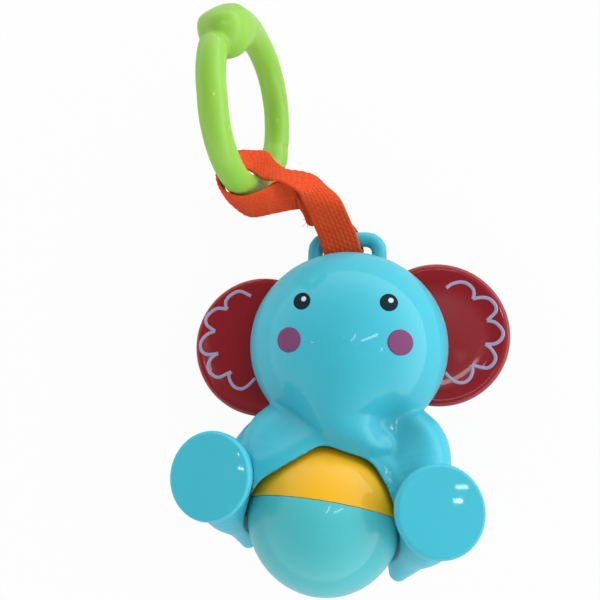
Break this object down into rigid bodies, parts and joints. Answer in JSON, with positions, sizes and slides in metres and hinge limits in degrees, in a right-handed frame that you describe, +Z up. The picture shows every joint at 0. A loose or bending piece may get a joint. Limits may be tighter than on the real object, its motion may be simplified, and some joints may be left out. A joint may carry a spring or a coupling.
{
  "type": "elephant rattle",
  "caption": "Moulded elephant baby rattle with rocking ears, a spinning bead-filled ball held between its feet, and a webbing strap with a snap ring.",
  "frame": {"origin": "on the table plane under the middle of the head, on the flat of the back shell", "axes": "+Z up out of the face, +Y from the ball towards the head and the ring, +X along the ball's axle to the viewer's right"},
  "size_m": [0.1075, 0.1831, 0.0601],
  "materials": {
    "shell_teal": "glossy moulded ABS",
    "ball_aqua": "glossy moulded ABS",
    "ball_yellow": "glossy moulded ABS",
    "ear_red": "glossy moulded ABS with a printed scallop line",
    "ring_green": "satin moulded polypropylene",
    "webbing": "woven polyester webbing",
    "steel": "zinc-plated steel",
    "inner_white": "natural acetal and polypropylene"
  },
  "bodies": {
    "base": {"front_shell": "shell_teal", "back_shell": "shell_teal", "left_leg": "shell_teal", "right_leg": "shell_teal", "left_foot_cap": "shell_teal", "right_foot_cap": "shell_teal", "ear_pivot_screw": "steel", "left_axle_bush": "shell_teal", "right_axle_bush": "shell_teal", "left_leg_screw": "steel", "right_leg_screw": "steel", "shell_screw_1": "steel", "shell_screw_2": "steel", "shell_screw_3": "steel", "shell_screw_4": "steel"},
    "ears": {"left_ear": "ear_red", "right_ear": "ear_red", "ear_yoke": "inner_white", "left_ear_screw": "steel", "right_ear_screw": "steel"},
    "ball": {"ball_upper_half": "ball_yellow", "ball_lower_half": "ball_aqua", "ball_axle": "steel"},
    "strap": {"strap": "webbing"},
    "ring": {"link_ring": "ring_green"},
    "loose_bead_1": {"bead_1": "inner_white"},
    "loose_bead_2": {"bead_2": "inner_white"},
    "loose_bead_3": {"bead_3": "inner_white"},
    "loose_bead_4": {"bead_4": "inner_white"},
    "loose_bead_5": {"bead_5": "inner_white"}
  },
  "joints": [
    {"name": "ball_spin", "type": "hinge", "parent": "base", "child": "ball", "pos_m": [-0.0006, -0.0553, 0.026], "axis": [1, 0, 0], "continuous": true},
    {"name": "ear_rock", "type": "hinge", "parent": "base", "child": "ears", "pos_m": [0, 0, 0.0095], "axis": [0, 0, 1], "range_deg": [-12.4, 3.6]},
    {"name": "strap_swing", "type": "hinge", "parent": "base", "child": "strap", "pos_m": [-0.00478, 0.03551, 0.012], "axis": [0.9954, 0.0958, 0], "range_deg": [0, 35]},
    {"name": "ring_swing", "type": "hinge", "parent": "strap", "child": "ring", "pos_m": [-0.03993, 0.04657, 0.0304], "axis": [-0.2143, -0.0163, 0.9766], "range_deg": [-50, 34]},
    {"name": "bead_1_hop", "type": "slide", "parent": "base", "child": "loose_bead_1", "axis": [0, 0, 1], "range_m": [0, 0.008]},
    {"name": "bead_2_hop", "type": "slide", "parent": "base", "child": "loose_bead_2", "axis": [0, 0, 1], "range_m": [0, 0.008]},
    {"name": "bead_3_hop", "type": "slide", "parent": "base", "child": "loose_bead_3", "axis": [0, 0, 1], "range_m": [0, 0.008]},
    {"name": "bead_4_hop", "type": "slide", "parent": "base", "child": "loose_bead_4", "axis": [0, 0, 1], "range_m": [0, 0.008]},
    {"name": "bead_5_hop", "type": "slide", "parent": "base", "child": "loose_bead_5", "axis": [0, 0, 1], "range_m": [0, 0.008]}
  ]
}
